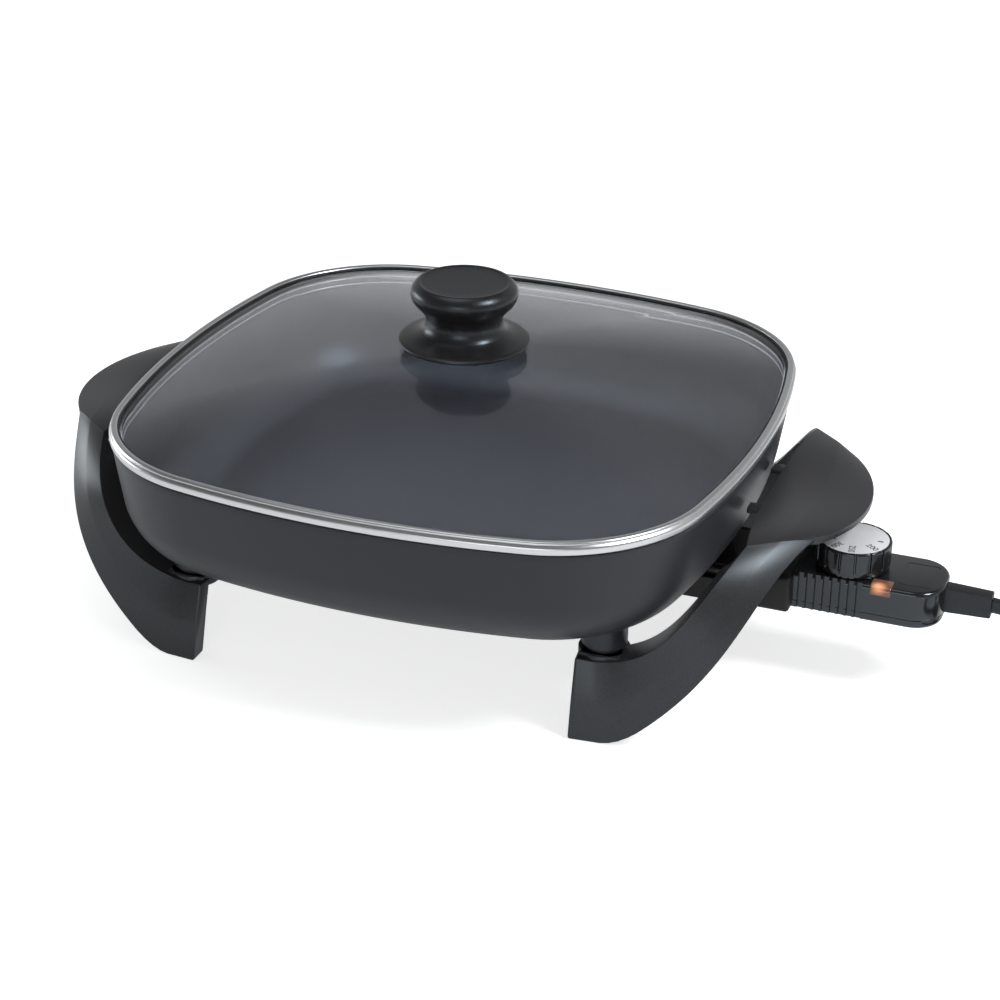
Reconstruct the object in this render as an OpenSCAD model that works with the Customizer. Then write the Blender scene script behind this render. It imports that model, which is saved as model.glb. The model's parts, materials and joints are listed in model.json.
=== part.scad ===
// Square electric skillet with a lift-off glass lid and a plug-in heat control.
// Millimetres, +Z up, the table at z = 0, the heat control on the +X side.

/* [Pan] */
// Half the width over the lid rim, centre to the middle of a side
rim_half = 159; // [150:0.5:165]
// Radius of the four bowed sides, at the lid rim
side_r = 461; // [400:1:600]
// Radius of the four corners, at the lid rim
corner_r = 81.5; // [76:0.5:90]
// Height of the pan's lip above the table
lip_z = 112; // [108:0.5:116]
// Height of the pan's underside above the table
under_z = 53; // [50:0.5:56]
// Thickness of the cast wall
wall_t = 3.4; // [2.8:0.1:4]
// Thickness of the cast floor
floor_t = 4; // [3:0.5:5]
// Outside radius between wall and floor
heel_r = 34; // [28:1:36]
// Slope of the wall from upright, degrees
draft = 8; // [5:0.5:10]

/* [Lid] */
// Thickness of the tempered glass
glass_t = 4; // [3:0.5:5]
// Height of the glass above the table, in the middle
glass_top = 142.7; // [138:0.1:146]
// Height of the steel band round the glass
band_h = 6.3; // [5.5:0.1:7]
// Radius of the knob at its widest
knob_r = 27; // [24:0.5:30]
// Height of the knob's top above the table
knob_top = 175.4; // [172:0.1:180]
// Radius of the skirt under the knob
skirt_r = 33; // [30:0.5:36]

/* [Handles] */
// Reach of each grip from the middle of the pan
grip_reach = 211; // [205:0.5:216]
// Thickness of the grip plate
grip_t = 3.6; // [3:0.1:5]
// Thickness of a leg at its foot
foot_t = 10; // [8:0.5:12]
// Place of a leg's mounting post from the middle, along X
post_x = 107.5; // [105:0.5:110]
// Place of a leg's mounting post from the middle, along Y
post_y = 92; // [90:0.5:94]

/* [Heat control] */
// Outer end of the control's housing from the middle of the pan
control_end = 252; // [250:0.5:256]
// Half the width of the housing
control_half = 20; // [18:0.5:22]
// Height of the housing's top above the table
control_top = 57.4; // [56:0.1:59]
// Height of the housing's underside above the table
control_under = 38; // [37:0.1:39]
// Radius of the temperature dial
dial_r = 18.4; // [17:0.1:20]
// Height of the dial's face above the table
dial_top = 71.6; // [70:0.1:73]
// Half the distance between the two terminal pins
pin_half = 14; // [13:0.5:15]

/* [Cord] */
// Width of the flat cord, standing on edge
cord_w = 8; // [7:0.5:9]
// Thickness of the flat cord
cord_t = 4.4; // [4:0.1:5]
// Turns in the stored coil
coil_turns = 2.75; // [1.75:1:3.75]

/* [Hidden] */

$fn = 96;
// Slack that keeps cutters clear of the faces that they cut through
eps = 1;
// Gap between pieces of different bodies that rest on each other
rest_gap = 0.3;

// The origin is the middle of the footprint with the control plugged in
pan_x = -(control_end - grip_reach) / 2;

// Centres of the side and corner arcs, which meet tangent to each other
side_c = side_r - rim_half;
arc_gap = side_r - corner_r;
corner_c = (-side_c + sqrt(2 * arc_gap * arc_gap - side_c * side_c)) / 2;
side_a = atan2(corner_c, corner_c + side_c);

// The lip lies just inside the lid's edge, and the lid band sits on it
lip_x = -1;
floor_in = 60;
band_z = lip_z + rest_gap;
band_top = band_z + band_h;
edge_z = band_top - 1.4;

// Underside ridge, element and contacts
element_r = 3.5;
element_z = under_z - 4.5;
loop_half = 75;
loop_r = 30;
lead_r = 8;
pin_r = 2.4;
pin_z = 47.5;
rod_r = 3;
run_fit = 0.05;
guard_half = 30;
guard_back = 122;
guard_front = 152;
guard_z = 39.5;
guard_t = 1.5;

// Legs: the post carries the leg's lug through a heat-break spacer
lug_z = 34.2;
lug_t = 6;
spacer_t = 2;
post_r = 11;
post_z = lug_z + lug_t + spacer_t;
screw_r = 2.5;

// Heat control
split_z = 42.5;
control_start = 180;
nose_start = 153;
nose_half = 25;
nose_under = 37;
nose_top = 56;
dial_x = 205;
dial_z = control_top + 0.4;
face_inset = 1.5;
groove_w = 2;
groove_pitch = 4.1;
groove_d = 1.2;
lens_x = 217.5;
lens_l = 11.5;
sleeve_x = 246;
sleeve_end = 274.5;
cord_z = 48.4;

// Cord: hand-laid lead from the strain relief down to the coil's inner turn
coil_in = 39.5;
coil_pitch = 4.8;
coil_x = 357;
coil_out = coil_in + coil_pitch * coil_turns;
lead_points = [[sleeve_end, 0, cord_z], [288, 0, 47], [301, 0, 41], [313, 0, 32],
    [325, 0, 23], [337, 0, 15], [349, 0, 9], [coil_x, -0.5, 6.5]];
tail_start = -coil_in - 2;
tail_points = [[coil_x - coil_out, tail_start, cord_w / 2], [coil_x - coil_out, -30, cord_w / 2],
    [coil_x - coil_out, -18, 6.5], [coil_x - coil_out, -10, 8.5]];
plug_y = -10;
plug_z = 8.5;
blade_half = 6.35;

// ---------- helpers ----------

module at_pan() translate([pan_x, 0, 0]) children();

function unit(v) = v / norm(v);
function mix(a, b, t) = a * (1 - t) + b * t;
function smooth(t) = let (c = min(1, max(0, t))) c * c * (3 - 2 * c);
function bezier(p, t) = pow(1 - t, 3) * p[0] + 3 * pow(1 - t, 2) * t * p[1]
    + 3 * (1 - t) * t * t * p[2] + pow(t, 3) * p[3];

// Sweeps a section round the pan's outline: x is the distance out from the rim, y the height
module sweep_rim() {
    for (k = [0:3]) rotate(90 * k) {
        translate([-side_c, 0, 0])
            rotate_extrude(angle = 2 * side_a, start = -side_a, $fn = 360)
                translate([side_r, 0]) children();
        translate([corner_c, corner_c, 0])
            rotate_extrude(angle = 90 - 2 * side_a, start = side_a, $fn = 120)
                translate([corner_r, 0]) children();
    }
}

// Points along an arc, both ends included
function arc(centre, r, a0, a1, steps) =
    [for (i = [0:steps]) let (a = a0 + (a1 - a0) * i / steps) centre + r * [cos(a), sin(a)]];

// A straight round rod between two points on one X line
module rod_x(x0, x1, y, z, r) {
    translate([x0, y, z]) rotate([0, 90, 0]) cylinder(r = r, h = x1 - x0);
}

// Every leg's place: children are drawn in the front right quarter and mirrored
module each_leg() {
    for (a = [0, 1], b = [0, 1]) mirror([a, 0, 0]) mirror([0, b, 0]) children();
}

// Closed loft through rings of points; the end caps fan from one named point
module loft(rings, apex = 0) {
    n = len(rings[0]);
    last = (len(rings) - 1) * n;
    sides = [for (i = [0:len(rings) - 2], j = [0:n - 1]) each
        [[i * n + j, i * n + (j + 1) % n, (i + 1) * n + j],
        [(i + 1) * n + j, i * n + (j + 1) % n, (i + 1) * n + (j + 1) % n]]];
    caps = [for (j = [1:n - 2]) let (b = (apex + j) % n, c = (apex + j + 1) % n) each
        [[apex, c, b], [last + apex, last + b, last + c]]];
    polyhedron(points = [for (r = rings) each r], faces = concat(sides, caps), convexity = 8);
}

// ---------- pan ----------

// A slice of a disc between two angles, less than 180 degrees apart
module pie(r, a0, a1) {
    far = 3 * r;
    intersection() {
        circle(r);
        polygon([[0, 0], far * [cos(a0), sin(a0)],
            far * [cos((a0 + a1) / 2), sin((a0 + a1) / 2)], far * [cos(a1), sin(a1)]]);
    }
}

// Solid inside one of the pan's surfaces: lip place, floor height, heel radius, top height
module pan_block(lip_x, bottom, r, top) {
    heel_z = bottom + r;
    heel_x = lip_x - r * cos(draft) - (lip_z - heel_z + r * sin(draft)) * tan(draft);
    tangent = [heel_x, heel_z] + r * [cos(draft), -sin(draft)];
    sweep_rim() polygon([[-floor_in, bottom], [heel_x, bottom], [heel_x, heel_z], tangent,
        [lip_x + (top - lip_z) * tan(draft), top], [-floor_in, top]]);
    sweep_rim() translate([heel_x, heel_z]) pie(r, -90, -draft);
    // Core that fills the middle of the swept ring
    side = rim_half - floor_in + 7;
    translate([0, 0, bottom]) linear_extrude(top - bottom) intersection() {
        square(2 * side, center = true);
        rotate(45) square(2.45 * side, center = true);
    }
}

// Path of the heating element from one cold lead round the loop to the other, as round rod
module element_path(r) {
    straight = loop_half - loop_r;
    lead_y = pin_half + lead_r;
    for (s = [0, 1]) mirror([0, s, 0]) translate([0, 0, element_z]) {
        rod_x(loop_half + lead_r, 120, pin_half, 0, r);
        translate([loop_half + lead_r, lead_y, 0])
            rotate_extrude(angle = 90, start = 180) translate([lead_r, 0]) circle(r, $fn = 48);
        translate([loop_half, lead_y, 0]) rotate([-90, 0, 0])
            cylinder(r = r, h = straight - lead_y);
        translate([straight, straight, 0])
            rotate_extrude(angle = 90) translate([loop_r, 0]) circle(r, $fn = 48);
        rod_x(-straight, straight, loop_half, 0, r);
        translate([-straight, straight, 0])
            rotate_extrude(angle = 90, start = 90) translate([loop_r, 0]) circle(r, $fn = 48);
        translate([-loop_half, 0, 0]) rotate([-90, 0, 0]) cylinder(r = r, h = straight);
    }
}

module rounded_square(half, r) {
    square([2 * half, 2 * (half - r)], center = true);
    square([2 * (half - r), 2 * half], center = true);
    for (x = [-1, 1], y = [-1, 1]) translate([x, y] * (half - r)) circle(r);
}

// Cast ridge that holds the element to the underside
module element_ridge() {
    half_w = 6;
    translate([0, 0, element_z]) linear_extrude(under_z - element_z + 1) {
        difference() {
            rounded_square(loop_half + half_w, loop_r + half_w);
            rounded_square(loop_half - half_w, loop_r - half_w);
            translate([loop_half - 2 * half_w, -pin_half + half_w])
                square([4 * half_w, 2 * (pin_half - half_w)]);
        }
        for (s = [-1, 1]) translate([loop_half - half_w, s * pin_half - half_w])
            square([118 - loop_half + half_w, 2 * half_w]);
    }
}

module pan() at_pan() color([0.22, 0.23, 0.25]) difference() {
    union() {
        difference() {
            pan_block(lip_x, under_z, heel_r, lip_z);
            pan_block(lip_x - wall_t / cos(draft), under_z + floor_t, heel_r - wall_t, lip_z + eps);
        }
        element_ridge();
        each_leg() translate([post_x, post_y, post_z])
            cylinder(r = post_r, h = under_z + 3 - post_z);
        for (s = [-1, 1]) translate([115, s * 25, under_z - 3]) cylinder(r = 4.5, h = 5);
    }
    element_path(element_r + 0.1);
    each_leg() translate([post_x, post_y, post_z - eps]) cylinder(r = 2.1, h = eps + 10);
    for (s = [-1, 1]) translate([115, s * 25, under_z - 3 - eps]) cylinder(r = 1.6, h = eps + 5);
}

module heating_element() at_pan() color([0.42, 0.42, 0.42]) element_path(element_r);

module terminal_pins() at_pan() color([0.75, 0.74, 0.7]) for (s = [-1, 1]) {
    rod_x(120, 149, s * pin_half, pin_z, pin_r);
    translate([149, s * pin_half, pin_z]) rotate([0, 90, 0]) cylinder(r1 = pin_r, r2 = 1.4, h = 2);
}

module pin_insulators() at_pan() color([0.88, 0.86, 0.8]) for (s = [-1, 1]) difference() {
    rod_x(120, 127, s * pin_half, pin_z, 4);
    rod_x(120 - eps, 127 + eps, s * pin_half, pin_z, pin_r);
}

module sensor_well() at_pan() color([0.7, 0.7, 0.68]) difference() {
    union() {
        rod_x(96, 121, 0, pin_z, 5);
        translate([98, -5.5, pin_z]) cube([20, 11, under_z - pin_z]);
    }
    rod_x(97.5, 121 + eps, 0, pin_z, rod_r + run_fit);
}

module terminal_guard() at_pan() color([0.2, 0.2, 0.21]) {
    deep = guard_front - guard_back;
    wall_h = under_z - 1.5 - guard_z;
    difference() {
        translate([guard_back, -guard_half, guard_z]) cube([deep, 2 * guard_half, wall_h]);
        translate([guard_back + guard_t, -guard_half + guard_t, guard_z + guard_t])
            cube([deep, 2 * (guard_half - guard_t), wall_h]);
        for (s = [-1, 1]) rod_x(guard_back - eps, guard_back + 2 * guard_t, s * pin_half, pin_z, 4.1);
        rod_x(guard_back - eps, guard_back + 2 * guard_t, 0, pin_z, 5.2);
        translate([guard_back - eps, -4.1 - pin_half, pin_z]) cube([guard_t + 2 * eps, 8.2 + 2 * pin_half, 9]);
    }
    for (s = [-1, 1]) difference() {
        translate([108, s * 25 - 4.5, under_z - 3 - guard_t]) cube([guard_back - 108 + guard_t, 9, guard_t]);
        translate([115, s * 25, under_z - 3 - 2 * guard_t]) cylinder(r = 2.2, h = 3 * guard_t);
    }
}

// Screw pointing up, with a domed pan head below its seat
module screw_up(seat_z, r, length, head_r, head_h) {
    translate([0, 0, seat_z]) cylinder(r = r, h = length);
    difference() {
        translate([0, 0, seat_z - head_h]) intersection() {
            cylinder(r = head_r, h = head_h);
            translate([0, 0, head_r * 1.4]) sphere(head_r * 1.4 + 0.01);
        }
        for (a = [0, 90]) rotate(a) translate([-head_r * 0.6, -0.5, seat_z - head_h - eps])
            cube([head_r * 1.2, 1, eps + head_h * 0.5]);
    }
}

module guard_screws() at_pan() color([0.72, 0.72, 0.74]) for (s = [-1, 1])
    translate([115, s * 25, 0]) screw_up(under_z - 3 - guard_t, 1.55, 6, 3.4, 2.2);

// ---------- handles ----------

// Lower outer edge of the front right leg, from the end of the foot to the grip's crease
foot_edge = [[98.4, -116.8, 0], [114, -115.4, 0]];
low_curve = [[122, -114, 0], [177, -108.5, 44.5], [173.5, -96.5, 78.5], [195, -47, 91.6]];
// Upper inner edge of the same leg
foot_top = [[97.7, -107, 38.5], [106, -105.7, 37.6]];
high_curve = [[108, -105.5, 37.6], [140, -104, 41.5], [152, -120, 74], [167.8, -70.7, 94]];

foot_steps = 2;
leg_steps = 22;
grip_steps = 9;
corner_t = 0.06;
flange_t = 3.6;

// Edges over the leg: t = 0 at the toe's corner, 1 at the crease
function low_edge(t) = t < corner_t
    ? let (s = t / corner_t, a = foot_edge[1], b = low_curve[0], c = bezier(low_curve, corner_t))
        mix(mix(a, b, s), mix(b, c, s), s)
    : bezier(low_curve, t);
function high_edge(t) = t < corner_t ? mix(foot_top[1], bezier(high_curve, corner_t), t / corner_t)
    : bezier(high_curve, t);

// Edges over the grip: g = -1 at the front crease, 1 at the back one
crease_in = high_curve[3];
crease_out = low_curve[3];
grip_drop = 15.9;
grip_arc = (crease_out[1] * crease_out[1] + grip_drop * grip_drop) / (2 * grip_drop);
function grip_outer(g) = let (y = -g * crease_out[1])
    [grip_reach - grip_arc + sqrt(grip_arc * grip_arc - y * y), y, crease_out[2] - 0.6 * (1 - g * g)];
function grip_inner(g) = [162 + 5.8 * g * g, -g * crease_in[1], 92 + 11 * g * g - 9 * pow(g, 4)];

// One ring of the moulding: outer skin, top flange or lip, and inner skin
function handle_ring(low, high, along, thick, flange, level, lean) =
    let (w = high - low, n = unit(cross(w, along)),
        inward = unit([n[0], n[1], n[2] * level]),
        side = unit(mix([-0.12, 1, 0], inward, lean)),
        down = unit(low - high), middle = (low + high) / 2,
        under = unit(cross(side, along)) * flange_t,
        fold = (side * down) / (side * inward),
        root = thick * fold + flange_t * sqrt(1 + fold * fold))
    [low, middle - inward * 0.8, high, high + side * flange,
        high + side * flange + under, high + inward * thick + down * root,
        middle + inward * thick, low + inward * thick];

function leg_ring(t) = let (d = 0.02, a = max(0, t - d), b = min(1, t + d),
        along = unit((low_edge(b) + high_edge(b)) - (low_edge(a) + high_edge(a))),
        thick = mix(foot_t, grip_t, smooth(t * 1.15)),
        reach = 17 * smooth(t / 0.12 + 0.45) * (1 - 0.52 * smooth((t - 0.78) / 0.24)),
        flange = max(thick + 2.2, reach))
    handle_ring(low_edge(t), high_edge(t), along, thick, flange, smooth(t * 1.6), smooth((t - 0.8) / 0.2));

function grip_ring(g) = handle_ring(grip_outer(g), grip_inner(g), [0, 1, 0], grip_t, grip_t + 2.2, 1, 1);

foot_rings = [for (i = [0:foot_steps - 1]) let (s = i / foot_steps)
    handle_ring(mix(foot_edge[0], foot_edge[1], s), mix(foot_top[0], foot_top[1], s),
        [1, 0, 0], foot_t, foot_t + 1.2 + 2 * s, 0, 0)];
leg_rings = [for (i = [0:leg_steps - 1]) leg_ring(i / leg_steps)];
// The crease ring lies between the leg's last direction and the grip's first
crease_ring = let (a = leg_ring(1), b = grip_ring(-1)) [for (i = [0:7]) (a[i] + b[i]) / 2];
half_grip = [for (i = [1:grip_steps]) grip_ring(i / grip_steps - 1)];
half_rings = concat(foot_rings, leg_rings, [crease_ring], half_grip);
function back_of(ring) = [for (p = ring) [p[0], -p[1], p[2]]];
handle_rings = concat(half_rings,
    [for (i = [len(half_rings) - 2:-1:0]) back_of(half_rings[i])]);

// Flat lug under a post, moulded on the leg
module lug() {
    lug_r = 12.4;
    translate([0, 0, lug_z]) linear_extrude(lug_t) {
        translate([post_x, -post_y]) circle(lug_r);
        translate([98.2, -103]) square([22, 103 - post_y]);
    }
}

module handle() {
    difference() {
        union() {
            loft(handle_rings, 5);
            for (b = [0, 1]) mirror([0, b, 0]) {
                lug();
                translate([156.4, 20, 88.4]) cube([8, 7, 3.2]);
            }
        }
        for (b = [0, 1]) mirror([0, b, 0]) translate([post_x, -post_y, lug_z - eps]) {
            cylinder(r = screw_r + 0.25, h = lug_t + 2 * eps);
            cylinder(r = 6.5, h = eps + 1.5);
        }
    }
}

module right_handle() at_pan() color([0.19, 0.19, 0.2]) handle();
module left_handle() at_pan() color([0.19, 0.19, 0.2]) mirror([1, 0, 0]) handle();

module handle_spacers() at_pan() color([0.1, 0.095, 0.09]) each_leg() difference() {
    translate([post_x, post_y, lug_z + lug_t]) cylinder(r = post_r - 2, h = spacer_t);
    translate([post_x, post_y, lug_z + lug_t - eps]) cylinder(r = screw_r + 0.3, h = spacer_t + 2 * eps);
}

module handle_washers() at_pan() color([0.72, 0.72, 0.74]) each_leg() difference() {
    translate([post_x, post_y, lug_z + 0.5]) cylinder(r = 6, h = 1);
    translate([post_x, post_y, lug_z + 0.5 - eps]) cylinder(r = screw_r + 0.1, h = 1 + 2 * eps);
}

module handle_screws() at_pan() color([0.72, 0.72, 0.74]) each_leg()
    translate([post_x, post_y, 0]) screw_up(lug_z + 0.5, 2.05, 15, 4.8, 3.2);

// ---------- lid ----------

// Places on the glass: how far in from the rim, share of the way out over the dome, height
dome_in = 14;
dome_z = edge_z + 6.8;
dome_steps = 6;
quarter_steps = 18;
side_steps = 6;
glass_edge = [[1.6, edge_z], [7, edge_z], [8.6, edge_z + 0.5], [12.2, edge_z + 5.2]];

function turn(p, a) = [p[0] * cos(a) - p[1] * sin(a), p[0] * sin(a) + p[1] * cos(a)];
// Point on the rim's outline moved in by a distance; the index runs round the four quarters
function rim_point(i, in) = let (j = i % quarter_steps, q = 90 * floor(i / quarter_steps),
        a = j < side_steps ? side_a * (2 * j / side_steps - 1)
            : side_a + (90 - 2 * side_a) * (j - side_steps) / (quarter_steps - side_steps))
    turn(j < side_steps ? [-side_c, 0] + (side_r - in) * [cos(a), sin(a)]
        : [corner_c, corner_c] + (corner_r - in) * [cos(a), sin(a)], q);

// Upper side of one upright section through the glass, rim to hole
function glass_line(i) = concat(
    [for (e = glass_edge) let (p = rim_point(i, e[0])) [p[0], p[1], e[1]]],
    [for (k = [0:dome_steps]) let (s = 1 - 0.87 * k / dome_steps, p = rim_point(i, dome_in) * s)
        [p[0], p[1], glass_top - (glass_top - dome_z) * pow(s, 2.1)]],
    [let (p = unit(rim_point(i, dome_in))) [16 * p[0], 16 * p[1], glass_top]],
    [let (p = unit(rim_point(i, dome_in))) [3.6 * p[0], 3.6 * p[1], glass_top]]);

// Closed ring through one upright section at each place round the rim
module rim_ring(sections) {
    n = len(sections);
    m = len(sections[0]);
    polyhedron(points = [for (s = sections) each s], convexity = 8,
        faces = [for (i = [0:n - 1], j = [0:m - 1]) let (a = i * m, b = (i + 1) % n * m, c = (j + 1) % m)
            each [[a + j, a + c, b + j], [b + j, a + c, b + c]]]);
}

module lid_glass() at_pan() color([0.75, 0.8, 0.82, 0.35])
    rim_ring([for (i = [0:4 * quarter_steps - 1]) let (top = glass_line(i))
        concat(top, [for (k = [len(top) - 1:-1:0]) top[k] - [0, 0, glass_t]])]);

// Rolled steel band: a rounded face, a groove, a bead on top, and a channel for the glass
band_section = [[-4.6, band_z], [-1, band_z], [-0.3, band_z + 0.4], [0, band_z + 1.2],
    [0, band_z + 3], [-0.35, band_z + 4], [-1.2, band_z + 4.5], [-1.2, band_z + 4.9],
    [-0.9, band_z + 5.5], [-1.3, band_top - 0.2], [-2, band_top], [-3.3, band_top],
    [-4.1, band_top - 0.4], [-4.4, band_top - 1], [-4.4, edge_z],
    [-1.6, edge_z], [-1.6, edge_z - glass_t], [-4.6, edge_z - glass_t]];

module lid_rim() at_pan() color([0.8, 0.81, 0.82])
    rim_ring([for (i = [0:4 * quarter_steps - 1])
        [for (p = band_section) let (q = rim_point(i, -p[0])) [q[0], q[1], p[1]]]]);

module knob_gasket() at_pan() color([0.12, 0.12, 0.12]) difference() {
    translate([0, 0, glass_top]) cylinder(r = 15, h = 1.3);
    translate([0, 0, glass_top - eps]) cylinder(r = 3, h = 1.3 + 2 * eps);
}

skirt_z = glass_top + 0.5;
seam_z = skirt_z + 6.2;

module knob_skirt() at_pan() color([0.07, 0.07, 0.07]) rotate_extrude() difference() {
    union() {
        polygon([[3, skirt_z], [skirt_r - 1.2, skirt_z], [skirt_r - 1.2, skirt_z + 2.4],
            [25, skirt_z + 4.6], [21.5, seam_z], [3, seam_z]]);
        translate([skirt_r - 1.2, skirt_z + 1.2]) circle(1.2);
    }
    translate([0, skirt_z - eps]) square([15.1, eps + 0.8]);
    polygon([[17, skirt_z - eps], [skirt_r - 3, skirt_z - eps], [skirt_r - 3, skirt_z + 0.8],
        [24, skirt_z + 2.4], [17, skirt_z + 3.4]]);
}

// Turned grip: a hollow waist, a swelling underside and a rounded top edge
waist_r = 19.3;
hollow_r = 7;
swell_r = 11.8;
edge_r = 5.5;
module knob_grip() at_pan() color([0.06, 0.06, 0.06]) rotate_extrude() difference() {
    polygon(concat([[0, seam_z], [21.3, seam_z]],
        arc([waist_r + hollow_r, seam_z + 5.4], hollow_r, 225, 135, 8),
        arc([knob_r - swell_r, knob_top - edge_r], swell_r, -58, 0, 8),
        arc([knob_r - edge_r, knob_top - edge_r], edge_r, 11, 90, 7),
        [[0, knob_top]]));
    translate([0, knob_top - 1.6]) square([knob_r - edge_r, 3]);
    translate([0, seam_z - eps]) square([4.2, eps + 14]);
}

module knob_cap() at_pan() color([0.16, 0.16, 0.17]) rotate_extrude()
    polygon([[0, knob_top - 1.6], [knob_r - edge_r - 0.1, knob_top - 1.6],
        [knob_r - edge_r - 0.1, knob_top - 0.5], [knob_r - edge_r - 0.8, knob_top - 0.2],
        [0, knob_top - 0.7]]);

module knob_insert() at_pan() color([0.78, 0.62, 0.3]) difference() {
    translate([0, 0, seam_z + 1]) cylinder(r = 4.2, h = 13);
    translate([0, 0, seam_z]) cylinder(r = 2.1, h = 16);
}

module knob_washer() at_pan() color([0.72, 0.72, 0.74]) difference() {
    translate([0, 0, glass_top - glass_t - 1]) cylinder(r = 9, h = 1);
    translate([0, 0, glass_top - glass_t - 1 - eps]) cylinder(r = 2.4, h = 1 + 2 * eps);
}

module knob_screw() at_pan() color([0.72, 0.72, 0.74])
    screw_up(glass_top - glass_t - 1, 2.05, 21, 4.8, 3);

// ---------- heat control ----------

// Plan of the housing, grown or shrunk all round except at the nose
module housing_slab(z0, z1, grow) {
    end_r = 15;
    y = control_half - end_r;
    for (s = [-1, 1]) translate([control_end - end_r, s * y, z0])
        cylinder(r = end_r + grow, h = z1 - z0, $fn = 32);
    translate([control_start, -control_half - grow, z0])
        cube([20, 2 * (control_half + grow), z1 - z0]);
}

module sleeve_slot() {
    translate([sleeve_x, -4.4, 41.7]) cube([control_end - sleeve_x + 5, 8.8, 13.4]);
}

// Hollow of the housing between two heights, with the screw posts left standing
module housing_pocket(z0, z1) difference() {
    translate([control_start + 2.5, -17, z0]) cube([60, 34, z1 - z0]);
    housing_screw_places() cylinder(r = 3, h = 60);
}

// Ways through the front wall for the contacts and the sensor, and a seat for the cord grip
module contact_ways() {
    for (s = [-1, 1]) rod_x(control_start - eps, control_start + 8, s * pin_half, pin_z, 4.1);
    rod_x(control_start - eps, control_start + 4, 0, pin_z, rod_r);
    translate([242, -11, 41]) cube([4, 22, 12]);
}

// Upright cooling grooves along both sides
module side_grooves() {
    for (i = [0:7], s = [-1, 1])
        translate([183 + groove_pitch * i, s > 0 ? control_half - groove_d : -control_half - eps, 30])
            cube([groove_w, groove_d + eps, 40]);
}

module housing_screw_places() for (p = [[195.5, 15], [195.5, -15], [235, 0]])
    translate([p[0], p[1], 0]) children();

module control_upper_housing() at_pan() color([0.08, 0.08, 0.085]) difference() {
    hull() {
        housing_slab(split_z, control_top - 1.2, 0);
        housing_slab(split_z, control_top, -1.2);
    }
    housing_pocket(split_z - eps, control_top - 2);
    contact_ways();
    translate([dial_x, 0, split_z]) cylinder(r = 3 + run_fit, h = 30);
    translate([lens_x, -control_half - eps, 50]) cube([lens_l, 8 + eps, 10]);
    housing_screw_places() cylinder(r = 1.3, h = split_z + 8);
    side_grooves();
    sleeve_slot();
    translate([232, -12, control_top - 0.5]) difference() {
        cube([14, 24, 2]);
        translate([1, 1, -eps]) cube([12, 22, 4]);
    }
}

module control_lower_housing() at_pan() color([0.08, 0.08, 0.085]) difference() {
    hull() {
        housing_slab(control_under + 1.5, split_z, 0);
        housing_slab(control_under, split_z, -1.8);
    }
    housing_pocket(control_under + 2, split_z + eps);
    contact_ways();
    housing_screw_places() {
        cylinder(r = 1.7, h = split_z + eps);
        cylinder(r = 3, h = control_under + 1.2);
    }
    side_grooves();
    sleeve_slot();
}

// Heat-proof front block: the contacts and the sensor pass through it
module control_nose() at_pan() color([0.14, 0.14, 0.145]) difference() {
    hull() {
        translate([nose_start, -nose_half + 2, nose_under]) cube([24, 2 * nose_half - 4, nose_top - nose_under]);
        translate([nose_start + 1.5, -nose_half, nose_under + 2])
            cube([24 - 1.5, 2 * nose_half, nose_top - nose_under - 4]);
    }
    for (s = [-1, 1]) rod_x(nose_start - eps, control_start + eps, s * pin_half, pin_z, 4);
    rod_x(nose_start - eps, control_start + eps, 0, pin_z, rod_r);
}

module sensor_rod() at_pan() color([0.76, 0.76, 0.75]) {
    rod_x(100, 187, 0, pin_z, rod_r);
    translate([100, 0, pin_z]) rotate([0, -90, 0]) cylinder(r1 = rod_r, r2 = 2, h = 1.5);
}

module contact_sleeves() at_pan() color([0.7, 0.69, 0.66]) for (s = [-1, 1]) difference() {
    rod_x(131, 187, s * pin_half, pin_z, 4);
    rod_x(131 - eps, 153, s * pin_half, pin_z, pin_r + run_fit);
}

module thermostat_block() at_pan() color([0.9, 0.88, 0.82]) difference() {
    translate([187, -7.5, control_under + 2]) cube([10, 15, 13]);
    for (z = [45, 48.5]) translate([186, -3.2, z]) cube([12, 6.4, 0.8]);
}

module contact_blades() at_pan() color([0.8, 0.68, 0.4]) for (z = [45, 48.5]) {
    translate([188, -3, z + 0.1]) cube([26, 6, 0.6]);
    translate([210, 0, z == 45 ? 45.7 : 47.4]) cylinder(r = 2, h = 1.2);
}

module lead_wires() at_pan() color([0.85, 0.85, 0.82]) for (s = [-1, 1]) {
    rod_x(184, 242, s * 9.7, 42.4, 1.1);
    translate([184, s * 11.5 - 2.5, 41.3]) cube([2, 5, 2.2]);
}

module neon_lamp() at_pan() color([1, 0.55, 0.3]) {
    rod_x(219, 226, -14.6, 52.8, 1.9);
    translate([226, -14.6, 52.8]) sphere(1.9);
}

// Amber window over the lamp, rounded over the housing's top edge
module indicator_lens() at_pan() color([0.85, 0.42, 0.2]) difference() {
    translate([lens_x, 0, 0]) rotate([90, 0, 90]) linear_extrude(lens_l)
        polygon(concat([[-control_half + 8, 50], [-control_half - 0.3, 50]],
            arc([-control_half + 2.7, control_top - 2.6], 3, 180, 90, 6),
            [[-control_half + 8, control_top + 0.4]]));
    translate([lens_x + 1.2, -control_half + 1.6, 49]) cube([lens_l - 2.4, 10, 6.2]);
}

module housing_screws() at_pan() color([0.7, 0.7, 0.72]) housing_screw_places()
    screw_up(control_under + 1.2, 1.25, 11, 2.9, 1.1);

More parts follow.
